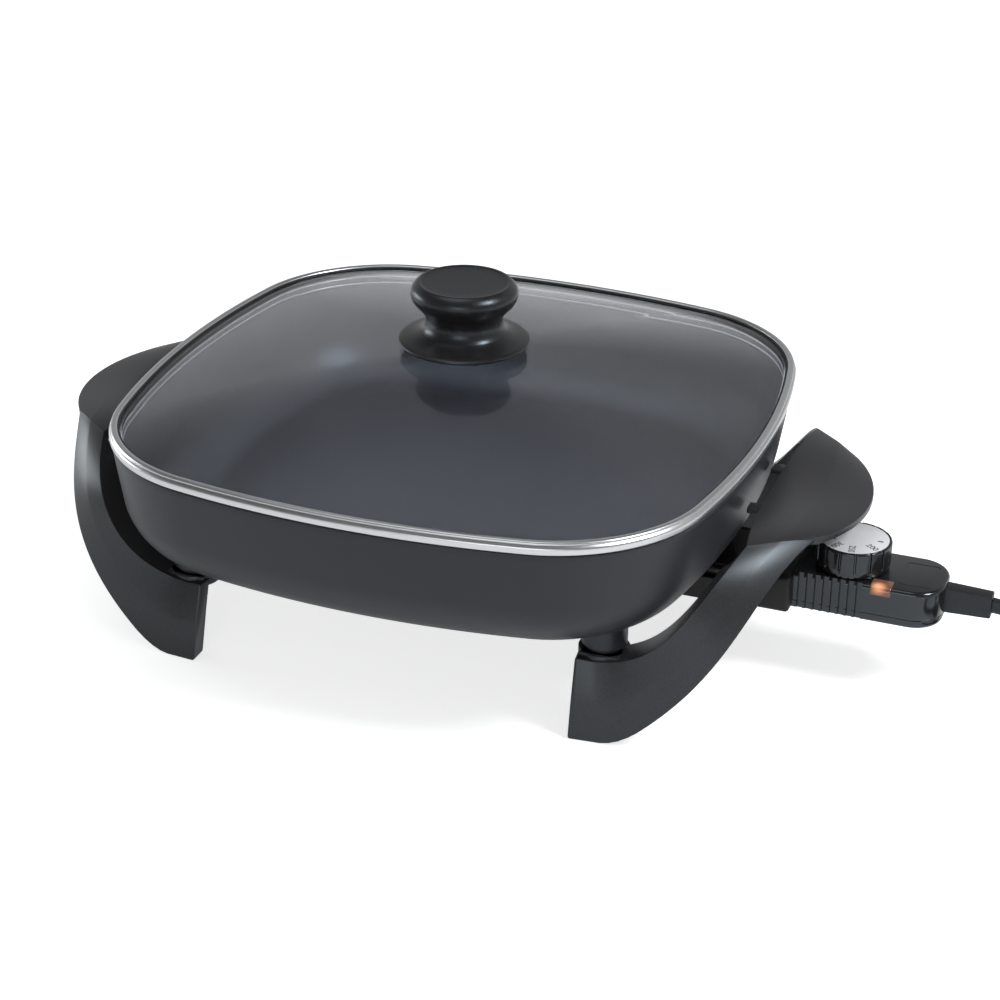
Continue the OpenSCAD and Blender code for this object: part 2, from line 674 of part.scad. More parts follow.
// Flat cord grip clamped between the halves
module strain_relief() at_pan() color([0.1, 0.1, 0.1]) {
    translate([242, -11, 41]) cube([4, 22, 12]);
    translate([sleeve_x, -4.3, 41.8]) cube([control_end - sleeve_x, 8.6, 13.2]);
    translate([control_end, 0, 48.4]) rotate([0, 90, 0])
        linear_extrude(sleeve_end - control_end, scale = [0.94, 0.9], $fn = 8)
            square([13.2, 8.6], center = true);
}

// ---------- dial ----------

module dial_knob() at_pan() color([0.06, 0.06, 0.065]) translate([dial_x, 0, 0]) difference() {
    union() {
        translate([0, 0, dial_z]) cylinder(r = dial_r - 1, h = 1.5);
        translate([0, 0, dial_z + 1.5]) cylinder(r = dial_r, h = dial_top - dial_z - 2);
        translate([0, 0, dial_top - 0.5]) cylinder(r1 = dial_r, r2 = dial_r - 0.7, h = 0.7);
    }
    translate([0, 0, dial_top - 0.9]) cylinder(r = dial_r - face_inset, h = 3);
    for (a = [0:24:336]) rotate(a + 8) translate([dial_r + 0.4, 0, dial_z + 3])
        cylinder(r = 1.3, h = 20, $fn = 24);
    translate([0, 0, dial_z - eps]) cylinder(r = dial_r - 3, h = eps + 8);
}

module dial_face() at_pan() color([0.92, 0.92, 0.92])
    translate([dial_x, 0, dial_top - 0.9]) cylinder(r = dial_r - face_inset - 0.05, h = 0.9);

module dial_shaft() at_pan() color([0.7, 0.7, 0.7])
    translate([dial_x, 0, 49.5]) cylinder(r = 3, h = dial_z + 8 - 49.5);

// ---------- cord ----------

// Eight-sided flat tube through hand-laid points, its wide side upright
function cord_ring(points, i) = let (last = len(points) - 1,
        along = unit(points[min(last, i + 1)] - points[max(0, i - 1)]),
        side = unit(cross(along, [0, 0, 1])), up = cross(side, along))
    [for (k = [0:7]) points[i] + side * cord_t / 2 * cos(45 * k + 22.5) / cos(22.5)
        + up * cord_w / 2 * sin(45 * k + 22.5) / cos(22.5)];

module flat_tube(points) loft([for (i = [0:len(points) - 1]) cord_ring(points, i)]);

module cord() at_pan() color([0.07, 0.07, 0.07]) flat_tube(lead_points);

module cord_coil() at_pan() color([0.07, 0.07, 0.07]) translate([coil_x, -coil_in, 0])
    rotate_extrude() translate([coil_in - cord_t / 2 - 0.2, 0])
        square([coil_out - coil_in + cord_t + 0.4, cord_w + 0.2]);

module cord_tail() at_pan() color([0.07, 0.07, 0.07]) flat_tube(tail_points);

// Two-blade mains plug lying on the table behind the coil
module plug() at_pan() color([0.08, 0.08, 0.08]) translate([coil_x - coil_out, plug_y, plug_z]) hull() {
    translate([-4.5, 0, -5]) cube([9, 1, 10]);
    translate([-9, 12, -8.5]) cube([18, 1, 17]);
    translate([-12.5, 16, -8.5]) cube([25, 12, 17]);
}

module plug_blades() at_pan() color([0.8, 0.7, 0.45]) for (s = [-1, 1]) difference() {
    translate([coil_x - coil_out + s * blade_half - 0.75, plug_y + 28, plug_z - 3.2])
        cube([1.5, 17, s > 0 ? 7.9 : 6.4]);
    translate([coil_x - coil_out + s * blade_half - 3, plug_y + 41, plug_z])
        rotate([0, 90, 0]) cylinder(r = 1.5, h = 6);
}

pan();
heating_element();
terminal_pins();
pin_insulators();
sensor_well();
terminal_guard();
guard_screws();
left_handle();
right_handle();
handle_spacers();
handle_washers();
handle_screws();
lid_glass();
lid_rim();
knob_gasket();
knob_skirt();
knob_grip();
knob_cap();
knob_insert();
knob_washer();
knob_screw();
control_upper_housing();
control_lower_housing();
control_nose();
sensor_rod();
contact_sleeves();
thermostat_block();
contact_blades();
lead_wires();
neon_lamp();
indicator_lens();
housing_screws();
strain_relief();
cord();
cord_coil();
cord_tail();
plug();
plug_blades();
dial_knob();
dial_face();
dial_shaft();
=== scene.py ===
import json
import math

import bmesh
import bpy
from mathutils import Matrix, Vector


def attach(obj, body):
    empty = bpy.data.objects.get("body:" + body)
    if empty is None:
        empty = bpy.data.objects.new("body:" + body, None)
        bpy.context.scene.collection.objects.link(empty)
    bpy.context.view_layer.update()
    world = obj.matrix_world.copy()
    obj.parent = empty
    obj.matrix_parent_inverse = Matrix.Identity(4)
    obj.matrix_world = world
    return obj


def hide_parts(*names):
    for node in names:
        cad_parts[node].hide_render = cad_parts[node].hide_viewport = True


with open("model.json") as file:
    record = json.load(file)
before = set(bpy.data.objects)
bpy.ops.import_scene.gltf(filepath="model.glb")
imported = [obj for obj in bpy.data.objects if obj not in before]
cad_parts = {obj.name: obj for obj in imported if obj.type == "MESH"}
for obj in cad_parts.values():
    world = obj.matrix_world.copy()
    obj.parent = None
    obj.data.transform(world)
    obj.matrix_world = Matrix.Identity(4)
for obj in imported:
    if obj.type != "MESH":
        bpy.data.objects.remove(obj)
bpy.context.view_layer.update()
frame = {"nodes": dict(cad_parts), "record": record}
scene = bpy.context.scene
NODES = frame["nodes"]

# Lengths are millimetres, from the middle of the pan on the table, unless a comment says metres.
MM = 0.001
PAN_X = -20.5  # the middle of the pan, from the middle of the footprint


def at(x, y, z):
    """The place in the shared frame, in metres, of a point given from the middle of the pan."""
    return Vector(((x + PAN_X) * MM, y * MM, z * MM))


# ---------------------------------------------------------------- camera

# Solved from the photograph's outlines of the pan, the steel band and the feet
AZ, EL, ROLL = (math.radians(a) for a in (19.83, 26.40, 0.95))
CAMERA_AT = (395.5, -1039.9, 606.7)
SENSOR, FOCAL = 36, 86.44
NEAR, FAR = 0.05, 30  # metres


def place_camera():
    back = Vector((math.sin(AZ) * math.cos(EL), -math.cos(AZ) * math.cos(EL), math.sin(EL)))
    level = Vector((math.cos(AZ), math.sin(AZ), 0))
    upright = back.cross(level)
    right = math.cos(ROLL) * level + math.sin(ROLL) * upright
    up = -math.sin(ROLL) * level + math.cos(ROLL) * upright
    data = bpy.data.cameras.new("camera")
    data.sensor_width = SENSOR
    data.lens = FOCAL
    data.clip_start, data.clip_end = NEAR, FAR
    camera = bpy.data.objects.new("camera", data)
    scene.collection.objects.link(camera)
    pose = Matrix((right, up, back)).transposed().to_4x4()
    pose.translation = at(*CAMERA_AT)
    camera.matrix_world = pose
    scene.camera = camera
    scene.view_settings.view_transform = "Standard"


place_camera()


# ---------------------------------------------------------------- mesh helpers
# A form is a pair: its points and its faces.

MIN_R = 0.05  # the smallest corner radius, so that no ring shrinks to a point
WELD = 1e-6  # metres


def build(name, form, body, slot, replaces=(), look=None, sharp=35, crease=()):
    """Makes a piece of the form, in the slot's own material unless another look is given.

    Edges bent by more than sharp degrees stay sharp, and so do the pairs of points in crease.
    """
    verts, faces = form
    mesh = bpy.data.meshes.new(name)
    mesh.from_pydata([at(*v) for v in verts], [], faces)
    bm = bmesh.new()
    bm.from_mesh(mesh)
    bm.verts.ensure_lookup_table()
    for a, b in crease:
        edge = bm.edges.get((bm.verts[a], bm.verts[b]))
        if edge:
            edge.smooth = False
    bmesh.ops.remove_doubles(bm, verts=bm.verts, dist=WELD)
    bmesh.ops.recalc_face_normals(bm, faces=bm.faces)
    limit = math.radians(sharp)
    for face in bm.faces:
        face.smooth = True
    for edge in bm.edges:
        if len(edge.link_faces) == 2 and edge.calc_face_angle(0) > limit:
            edge.smooth = False
    bm.to_mesh(mesh)
    bm.free()
    mesh.materials.append(M[look or slot])
    obj = bpy.data.objects.new(name, mesh)
    scene.collection.objects.link(obj)
    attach(obj, body)
    if replaces:
        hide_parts(*replaces)
    return obj


def rings_to_faces(n_rings, n, closed_path=False):
    """Quads between rings of n points; a closed path joins the last ring to the first as well."""
    faces = []
    for i in range(n_rings if closed_path else n_rings - 1):
        a, b = i * n, (i + 1) % n_rings * n
        for j in range(n):
            k = (j + 1) % n
            faces.append((a + j, a + k, b + k, b + j))
    return faces


def looped(rings):
    """A form through rings, the last one joined to the first."""
    points = [p for ring in rings for p in ring]
    return points, rings_to_faces(len(rings), len(rings[0]), closed_path=True)


def capped(rings):
    """A form through rings, with one flat face at each end."""
    n = len(rings[0])
    points = [p for ring in rings for p in ring]
    faces = rings_to_faces(len(rings), n)
    faces += [tuple(range(n)), tuple(range(len(points) - n, len(points)))]
    return points, faces


def join(*forms):
    """Several forms as one."""
    verts, faces = [], []
    for v, f in forms:
        faces += [tuple(i + len(verts) for i in g) for g in f]
        verts += v
    return verts, faces


def arc(cx, cy, r, a0, a1, steps):
    """Points along an arc, in degrees, both ends included."""
    angles = [math.radians(a0 + (a1 - a0) * i / steps) for i in range(steps + 1)]
    return [(cx + r * math.cos(a), cy + r * math.sin(a)) for a in angles]


def catmull(points, steps):
    """A smooth line through the points."""
    p = [Vector(points[0]) * 2 - Vector(points[1])] + [Vector(q) for q in points]
    p.append(p[-1] * 2 - p[-2])
    out = []
    for i in range(1, len(p) - 2):
        a, b, c, d = p[i - 1:i + 3]
        for s in range(steps):
            t = s / steps
            out.append(0.5 * (2 * b + (c - a) * t + (2 * a - 5 * b + 4 * c - d) * t * t
                              + (3 * b - 3 * c + d - a) * t ** 3))
    out.append(p[-2])
    return out


def turned(profile, cx, cy, steps):
    """Upright-axis circles, one for each (radius, height) pair."""
    return [[(cx + x, cy + y, z) for x, y in arc(0, 0, r, 0, 360 - 360 / steps, steps - 1)]
            for r, z in profile]


def lathe(profile, cx=0.0, cy=0.0, steps=96):
    """A turned form from (radius, height) pairs that run from one end of the axis to the other."""
    return capped(turned(profile, cx, cy, steps))


def rounded_rect(half_w, half_h, r, steps=4):
    pts = []
    for sx, sy, a in ((1, 1, 0), (-1, 1, 90), (-1, -1, 180), (1, -1, 270)):
        pts += arc(sx * (half_w - r), sy * (half_h - r), r, a, a + 90, steps)
    return pts


def block(x0, x1, y0, y1, z0, z1, r, steps=3):
    """A box with rounded upright edges and rounded top and bottom edges."""
    corners = ((x1 - r, y1 - r, 0), (x0 + r, y1 - r, 90), (x0 + r, y0 + r, 180),
               (x1 - r, y0 + r, 270))

    def ring(z, inset):
        return [(x, y, z) for cx, cy, a in corners
                for x, y in arc(cx, cy, max(r - inset, MIN_R), a, a + 90, steps + 1)]

    rings = [ring(z0 + r + z, r - x) for x, z in arc(0, 0, r, -90, 0, steps)]
    rings += [ring(z1 - r + z, r - x) for x, z in arc(0, 0, r, 0, 90, steps)]
    return capped(rings)


def tube(points, section):
    """A section swept along points; its second coordinate stays upright."""
    rings = []
    for i, p in enumerate(points):
        t = (points[min(len(points) - 1, i + 1)] - points[max(0, i - 1)]).normalized()
        side = t.cross(Vector((0, 0, 1))).normalized()
        upright = side.cross(t)
        rings.append([tuple(p + side * a + upright * b) for a, b in section])
    return capped(rings)


# ---------------------------------------------------------------- materials

BLUE_SHEEN = (0.82, 0.92, 1.0, 1.0)
NOISE_DETAIL = 4.0
NOISE_DARK, NOISE_LIGHT = 0.35, 0.65  # where the noise reaches its darkest and lightest colour
# The lens's painted glow: emission brightest at the neon lamp's place, fading over the reach in
# millimetres.
LENS_LIGHT_AT, LENS_LIGHT_REACH = (222.0, -18.5, 57.2), 5.0
LENS_BRIGHTEST, LENS_DIMMEST = 0.95, 0.06
M = {}


def feed(tree, node, values):
    """Sets a node's inputs, each from a number, a colour or another node's output."""
    for key, value in values.items():
        if isinstance(value, bpy.types.NodeSocket):
            tree.links.new(value, node.inputs[key])
        else:
            node.inputs[key].default_value = value
    return node


def remap(tree, value, to_min, to_max, from_min=0.0, from_max=1.0, kind="LINEAR"):
    node = tree.nodes.new("ShaderNodeMapRange")
    node.interpolation_type = kind
    feed(tree, node, {"Value": value, "From Min": from_min, "From Max": from_max,
                      "To Min": to_min, "To Max": to_max})
    return node.outputs["Result"]


def material(name, color, rough, metal=0.0, **sockets):
    """A plain material; M holds it under its name."""
    m = bpy.data.materials.new(name)
    m.use_nodes = True
    values = {"Base Color": (*color, 1), "Roughness": rough, "Metallic": metal}
    values.update((key.replace("_", " "), value) for key, value in sockets.items())
    feed(m.node_tree, m.node_tree.nodes["Principled BSDF"], values)
    m.diffuse_color = (*color, 1)
    M[name] = m
    return m


def grain(m, scale, height, spread, rough_spread=0.0):
    """Fine bump, with a little variation of the colour and of the gloss."""
    tree = m.node_tree
    shader = tree.nodes["Principled BSDF"]
    place = tree.nodes.new("ShaderNodeTexCoord")
    noise = feed(tree, tree.nodes.new("ShaderNodeTexNoise"),
                 {"Scale": scale, "Detail": NOISE_DETAIL, "Vector": place.outputs["Object"]})
    value = noise.outputs["Fac"]
    if height:
        bump = feed(tree, tree.nodes.new("ShaderNodeBump"),
                    {"Strength": 1.0, "Distance": height * MM, "Height": value})
        feed(tree, shader, {"Normal": bump.outputs["Normal"]})
    color = shader.inputs["Base Color"].default_value[:3]
    ramp = tree.nodes.new("ShaderNodeValToRGB")
    dark, light = ramp.color_ramp.elements
    dark.position, light.position = NOISE_DARK, NOISE_LIGHT
    dark.color = (*[x * (1 - spread) for x in color], 1)
    light.color = (*[min(1, x * (1 + spread)) for x in color], 1)
    feed(tree, ramp, {"Fac": value})
    feed(tree, shader, {"Base Color": ramp.outputs["Color"]})
    if rough_spread:
        rough = shader.inputs["Roughness"].default_value
        feed(tree, shader, {"Roughness": remap(tree, value, max(0, rough - rough_spread),
                                               min(1, rough + rough_spread))})


def glow(m, centre, reach, brightest, dimmest):
    """Painted glow inside a window: emission on its surface stands in for a lamp's light and fades
    away from one point over the given millimetres.
    """
    tree = m.node_tree
    place = tree.nodes.new("ShaderNodeTexCoord")
    distance = tree.nodes.new("ShaderNodeVectorMath")
    distance.operation = "DISTANCE"
    feed(tree, distance, {0: place.outputs["Object"], 1: at(*centre)})
    fade = remap(tree, distance.outputs["Value"], brightest, dimmest, 0.0, reach * MM,
                 "SMOOTHSTEP")
    feed(tree, tree.nodes["Principled BSDF"], {"Emission Strength": fade})


# grain: scale of the noise, height of the bump, spread of the colour, spread of the gloss
grain(material("nonstick", (0.028, 0.0283, 0.032), 0.4, Specular_IOR_Level=0.38,
               Specular_Tint=BLUE_SHEEN), 2600, 0.0006, 0.07, 0.012)
grain(material("element_steel", (0.16, 0.15, 0.14), 0.45, 0.9), 300, 0.03, 0.3)
# Pin steel painted dark: painted shade for the pins and sleeves, which sit in shade between the
# pan and the handle.
grain(material("pin_steel", (0.3, 0.29, 0.28), 0.4, 1.0), 500, 0.01, 0.1)
grain(material("ceramic", (0.78, 0.75, 0.68), 0.7), 700, 0.03, 0.05)
grain(material("guard_paint", (0.015, 0.014, 0.014), 0.5), 600, 0.03, 0.1)
grain(material("screw_steel", (0.55, 0.55, 0.57), 0.3, 1.0), 500, 0.01, 0.05)
grain(material("handle_plastic", (0.031, 0.0296, 0.0308), 0.33, Specular_Tint=BLUE_SHEEN),
      1300, 0.008, 0.15, 0.04)
grain(material("spacer_board", (0.03, 0.027, 0.025), 0.7), 400, 0.05, 0.2)
grain(material("lid_glass", (0.91, 0.94, 1.0), 0.004, Transmission_Weight=1.0, IOR=1.2),
      40, 0, 0.01, 0.004)
grain(material("band_steel", (0.66, 0.67, 0.68), 0.3, 1.0), 300, 0.004, 0.02, 0.04)
# The band's inner leg and its beads in darker copies of the band's steel: painted shade for inside
# the pan, the leg much darker and the beads less so, so that they stand out as bright lines
# against it.
grain(material("shaded_leg_steel", (0.085, 0.088, 0.094), 0.5, 1.0), 300, 0.004, 0.03, 0.04)
grain(material("shaded_bead_steel", (0.4, 0.41, 0.42), 0.35, 1.0), 300, 0.004, 0.02, 0.04)
# Black matte ring on the glass under the bead's inner edge.
grain(material("seal_rubber", (0.02, 0.02, 0.02), 0.6), 500, 0.03, 0.1)
grain(material("knob_gloss", (0.016, 0.0145, 0.0152), 0.3, Specular_Tint=BLUE_SHEEN),
      200, 0.002, 0.1, 0.03)
grain(material("knob_matte", (0.019, 0.0185, 0.0195), 0.45, Specular_Tint=BLUE_SHEEN),
      1100, 0.012, 0.12)
grain(material("brass", (0.7, 0.5, 0.2), 0.3, 1.0), 500, 0.01, 0.08)
grain(material("control_gloss", (0.013, 0.0122, 0.0128), 0.17, Specular_IOR_Level=0.75,
               Specular_Tint=BLUE_SHEEN), 200, 0.002, 0.1, 0.03)
grain(material("nose_matte", (0.011, 0.0102, 0.0104), 0.5, Specular_IOR_Level=0.35),
      800, 0.02, 0.1)
grain(material("wire_sleeving", (0.7, 0.7, 0.66), 0.6), 500, 0.02, 0.05)
grain(material("neon", (1.0, 0.45, 0.2), 0.2, Emission_Color=(1, 0.35, 0.1, 1),
               Emission_Strength=1.0), 300, 0.004, 0.1)
# Painted glow: the amber lens emits light, standing in for the neon lamp shining through it.
glow(material("lens_amber", (0.13, 0.056, 0.038), 0.14, Specular_IOR_Level=0.8,
              Emission_Color=(1, 0.42, 0.2, 1)),
     LENS_LIGHT_AT, LENS_LIGHT_REACH, LENS_BRIGHTEST, LENS_DIMMEST)
grain(material("cord_rubber", (0.013, 0.0125, 0.013), 0.42, Specular_Tint=BLUE_SHEEN),
      500, 0.02, 0.1)
grain(material("dial_white", (0.8, 0.8, 0.81), 0.35), 300, 0.004, 0.02)
grain(material("dial_print", (0.16, 0.16, 0.17), 0.5), 900, 0, 0.15)

slot_of = {s["node"]: s["material_slot"] for s in frame["record"]["subparts"]}
for node, obj in NODES.items():
    obj.data.materials.clear()
    obj.data.materials.append(M[slot_of[node]])


# ---------------------------------------------------------------- the outline of pan and lid

RIM, SIDE_R, CORNER_R = 159.0, 461.0, 81.5
SIDE_C = SIDE_R - RIM  # how far the middle of a side's arc lies behind the middle of the pan
ARC_GAP = SIDE_R - CORNER_R
CORNER_C = (math.sqrt(2 * ARC_GAP ** 2 - SIDE_C ** 2) - SIDE_C) / 2
SIDE_A = math.atan2(CORNER_C, CORNER_C + SIDE_C)
SIDE_STEPS, CORNER_STEPS = 20, 34


def outline(inward):
    """The band's outline moved in: four bowed sides joined by tangent corners."""
    quarter = []
    for i in range(SIDE_STEPS):
        a = SIDE_A * (2 * i / SIDE_STEPS - 1)
        r = SIDE_R - inward
        quarter.append((-SIDE_C + r * math.cos(a), r * math.sin(a)))
    for i in range(CORNER_STEPS):
        a = SIDE_A + (math.pi / 2 - 2 * SIDE_A) * i / CORNER_STEPS
        r = CORNER_R - inward
        quarter.append((CORNER_C + r * math.cos(a), CORNER_C + r * math.sin(a)))
    turns = ((1, 0), (0, 1), (-1, 0), (0, -1))
    return [(x * c - y * s, x * s + y * c) for c, s in turns for x, y in quarter]


def sweep(profile, closed=True):
    """Sweeps (inward, height) pairs round the outline; an open profile is capped at its ends."""
    rings = [[(x, y, z) for x, y in outline(inward)] for inward, z in profile]
    return looped(rings) if closed else capped(rings)


# ---------------------------------------------------------------- pan

LIP_Z, LIP_IN, LIP_R = 112.0, 1.0, 1.1  # LIP_IN: from the band's outline in to the pan's lip
UNDER_Z, WALL_T, FLOOR_T, HEEL_R, HEEL_STEPS = 53.0, 3.4, 4.0, 34.0, 20
DRAFT = math.radians(8.0)
WALL_ROWS = (98.0, 108.0)
FLAT_ROWS = (70.0, 50.0)  # rings on the flat underside and floor, by how far in they lie
POST_X, POST_Y, POST_Z = 107.5, 92.0, 42.2
POST = [(10.6, POST_Z), (11, POST_Z + 0.4), (11, 51.0), (11.8, 53.0), (12.6, 54.5)]
ELEMENT_Z, RIDGE_HALF, RIDGE_R = 48.5, 75, 30
RIDGE = [(-7, UNDER_Z + 0.5), (-6.2, UNDER_Z - 0.6), (-6, ELEMENT_Z + 1), (-5, ELEMENT_Z),
         (5, ELEMENT_Z), (6, ELEMENT_Z + 1), (6.2, UNDER_Z - 0.6), (7, UNDER_Z + 0.5)]
PIN_Y, LEAD_RIDGE_X, LEAD_RIDGE_HALF, LEAD_RIDGE_R = 14.0, (79, 118), 6, 0.8
BOSS, BOSS_X, BOSS_Y = [(4.5, 50), (4.5, 52.4), (5.1, 53.2)], 115, 25


def heel(lip_in, bottom, r):
    """Arc between the flat bottom and the wall, where the wall meets the lip at lip_in."""
    z = bottom + r
    inward = lip_in + r * math.cos(DRAFT) + (LIP_Z - z + r * math.sin(DRAFT)) * math.tan(DRAFT)
    end = -math.degrees(DRAFT)
    return [(2 * inward - x, y) for x, y in arc(inward, z, r, -90, end, HEEL_STEPS)]


def wall(lip_in, rows):
    return [(lip_in + (LIP_Z - LIP_R - z) * math.tan(DRAFT), z) for z in rows]


def pan_profile():
    """From the middle of the underside, up the outside, over the lip and in to the floor."""
    inner_in = LIP_IN + WALL_T / math.cos(DRAFT)
    inner_z = UNDER_Z + FLOOR_T
    lip_z = LIP_Z - LIP_R
    outer_lip = [(LIP_IN + LIP_R - x, y) for x, y in arc(0, lip_z, LIP_R, 0, 90, 4)]
    inner_lip = [(inner_in - x, y) for x, y in arc(0, lip_z, LIP_R, 90, 0, 4)]
    return ([(inward, UNDER_Z) for inward in FLAT_ROWS] + heel(LIP_IN, UNDER_Z, HEEL_R)
            + wall(LIP_IN, WALL_ROWS) + outer_lip + inner_lip + wall(inner_in, WALL_ROWS[::-1])
            + heel(inner_in, inner_z, HEEL_R - WALL_T)[::-1]
            + [(inward, inner_z) for inward in FLAT_ROWS[::-1]])


def underside():
    """Ridge round the element, its two leads, the legs' posts and the guard's bosses."""
    rings = [[(x, y, z) for x, y in rounded_rect(RIDGE_HALF + w, RIDGE_HALF + w, RIDGE_R + w, 10)]
             for w, z in RIDGE]
    parts = [looped(rings)]
    for s in (-1, 1):
        y = s * PIN_Y
        parts.append(block(*LEAD_RIDGE_X, y - LEAD_RIDGE_HALF, y + LEAD_RIDGE_HALF, ELEMENT_Z,
                           UNDER_Z + 1, LEAD_RIDGE_R))
        parts.append(lathe(BOSS, BOSS_X, s * BOSS_Y, 32))
        for x in (-POST_X, POST_X):
            parts.append(lathe(POST, x, s * POST_Y, 48))
    return join(*parts)


build("cast_pan", join(sweep(pan_profile(), closed=False), underside()), "base", "nonstick",
      ("pan",))


# ---------------------------------------------------------------- lid

BAND_Z, BAND_TOP = 112.3, 118.6
LEG_IN, LEG_T, LEG_LOW = 6.3, 0.8, 105.6
LEG = [(LEG_IN, BAND_Z + 0.3), (LEG_IN, LEG_LOW), (LEG_IN - 0.3, LEG_LOW - 0.2),
       (LEG_IN - 0.7, LEG_LOW), (LEG_IN - LEG_T, LEG_LOW + 0.3), (LEG_IN - LEG_T, BAND_Z + 0.3)]
BEAD = [(-0.05, 0.6), (0.12, 0.5), (0.36, 0.22), (0.4, 0), (0.36, -0.22), (0.12, -0.5),
        (-0.05, -0.6)]
BEADS_Z = (110.0, 106.8)
GLASS_T, EDGE_Z, GLASS_TOP = 4.0, 117.2, 142.7
EDGE_ROWS, DOME_IN = (1.8, 4.6), 5.6  # the flat edge of the glass, and where the dome starts
DOME_POWER, DOME_SPAN, DOME_STEPS = 1.6, 0.87, 40  # DOME_SPAN: share of the way to the middle
CROWN_R, HOLE_R = 16.0, 3.6
# A black ring along the inner edge of the bead, on the glass, which makes a dark line there.
DARK_RING = [(4.35, EDGE_Z), (4.4, EDGE_Z + 0.6), (4.75, EDGE_Z + 0.8), (5.2, EDGE_Z + 0.55),
        (5.4, EDGE_Z + 0.02)]


def band_profile():
    """Rounded face, groove, rolled bead and the seat that holds the glass."""
    face = [(1.3, 0)] + [(1.3 - x, y) for x, y in arc(0.2, 1.1, 1.1, -90, 0, 4)]
    face += [(0, 2.0), (0.02, 3.0), (0.2, 3.6), (0.6, 4.1), (1.15, 4.45)]
    groove = [(1.3, 4.7), (1.15, 4.9), (0.95, 5.2)]
    bead = [(1.65, -0.08), (2.2, 0), (3.2, 0), (3.8, -0.15), (4.2, -0.5), (4.4, -1)]
    glass_under = EDGE_Z - GLASS_T
    seat = [(4.4, EDGE_Z + 0.05), (1.7, EDGE_Z + 0.05), (1.7, glass_under),
            (LEG_IN, glass_under), (LEG_IN, BAND_Z)]
    low = face + groove + [(0.95, 5.5), (1.2, 5.9)]
    return [(x, BAND_Z + z) for x, z in low] + [(x, BAND_TOP + z) for x, z in bead] + seat


build("lid_band", sweep(band_profile()), "lid", "band_steel", ("lid_rim",))
# Inner leg and beads in darker copies of the band's steel: painted shade, with the beads kept
# lighter than the leg so they read as bright lines.
build("lid_leg", sweep(LEG), "lid", "band_steel", look="shaded_leg_steel")
build("lid_beads", join(*(sweep([(LEG_IN + x, z + y) for x, y in BEAD]) for z in BEADS_Z)),
      "lid", "band_steel", look="shaded_bead_steel")
build("lid_dark_ring", sweep(DARK_RING), "lid", "seal_rubber")


def glass_rings():
    """Upper side of the glass, from the edge to the hole: flat edge, dome, flat crown."""
    rings = [[(x, y, EDGE_Z) for x, y in outline(inward)] for inward in EDGE_ROWS]
    base = outline(DOME_IN)
    for k in range(DOME_STEPS + 1):
        s = 1 - DOME_SPAN * k / DOME_STEPS
        z = GLASS_TOP - (GLASS_TOP - EDGE_Z) * s ** DOME_POWER
        rings.append([(x * s, y * s, z) for x, y in base])
    for r in (CROWN_R, HOLE_R):
        rings.append([(r * x / math.hypot(x, y), r * y / math.hypot(x, y), GLASS_TOP)
                      for x, y in base])
    return rings


upper = glass_rings()
lower = [[(x, y, z - GLASS_T) for x, y, z in ring] for ring in reversed(upper)]
build("lid_dome", looped(upper + lower), "lid", "lid_glass", ("lid_glass",), sharp=60)


# ---------------------------------------------------------------- knob

SKIRT_Z = GLASS_TOP + 0.5
SEAM_Z, KNOB_TOP = SKIRT_Z + 6.2, 175.4
# Radius with height above SKIRT_Z
SKIRT = ((15.2, 0.7), (15.4, 0), (31.6, 0), (32.5, 0.35), (33.0, 1.2), (32.8, 2.0), (32.0, 2.5),
         (30.2, 2.85), (28.0, 3.3), (25.8, 3.95), (24.0, 4.7), (22.7, 5.45), (21.75, 6.2))
# Radius with height above SEAM_Z, then with height above KNOB_TOP
GRIP_SIDE = ((3.0, 0.04), (21.7, 0.04), (21.0, 0.8), (20.4, 1.7), (19.9, 2.9), (19.5, 4.3),
             (19.3, 5.8), (19.4, 7.4), (19.9, 9.0), (21.0, 10.7), (22.7, 12.5), (24.6, 14.5),
             (26.1, 16.7), (26.8, 18.7), (27.0, 20.2), (26.7, 21.8), (25.9, 23.3), (24.7, 24.5))
GRIP_RIM = ((23.5, -0.5), (22.6, -0.35), (21.9, -0.45), (21.42, -0.62), (21.4, -1.7),
            (3.0, -1.7))
DISC = ((0.4, -1.6), (21.36, -1.6), (21.36, -0.64), (21.1, -0.7), (20.0, -0.85), (15.0, -1.0),
        (0.4, -1.1))


def raised(profile, base):
    return [(r, base + z) for r, z in profile]


build("knob_base", lathe(raised(SKIRT, SKIRT_Z)), "lid", "knob_gloss", ("knob_skirt",))
build("knob_body", lathe(raised(GRIP_SIDE, SEAM_Z) + raised(GRIP_RIM, KNOB_TOP)), "lid",
      "knob_gloss", ("knob_grip",))
build("knob_disc", lathe(raised(DISC, KNOB_TOP)), "lid", "knob_matte", ("knob_cap",))


# ---------------------------------------------------------------- handles

FOOT_T, GRIP_T, FLANGE_T = 10.0, 3.6, 3.6
# Each leg's lower and upper edge: Bezier curves that start at the top of the foot's post
FOOT_EDGE = (Vector((98.4, -116.8, 0)), Vector((114, -115.4, 0)))
LOW = [Vector(p) for p in ((122, -114, 0), (177, -108.5, 44.5), (173.5, -96.5, 78.5),
                           (195, -47, 91.6))]
FOOT_TOP = (Vector((97.7, -107, 38.5)), Vector((106, -105.7, 37.6)))
HIGH = [Vector(p) for p in ((108, -105.5, 37.6), (140, -104, 41.5), (152, -120, 74),
                            (167.8, -70.7, 94))]
CORNER_T = 0.06  # share of the curve that rounds it into the foot
LEG_STEPS, GRIP_STEPS, FOOT_STEPS = 64, 26, 6
TANGENT_T = 0.02
SKIN_BULGE = 0.8  # how far the outer skin bows out between its edges
FLANGE_REACH, FLANGE_MIN = 17, 2.2  # FLANGE_MIN: past the inner skin
FOOT_FLANGE, FOOT_FLANGE_GAIN = 1.2, 2
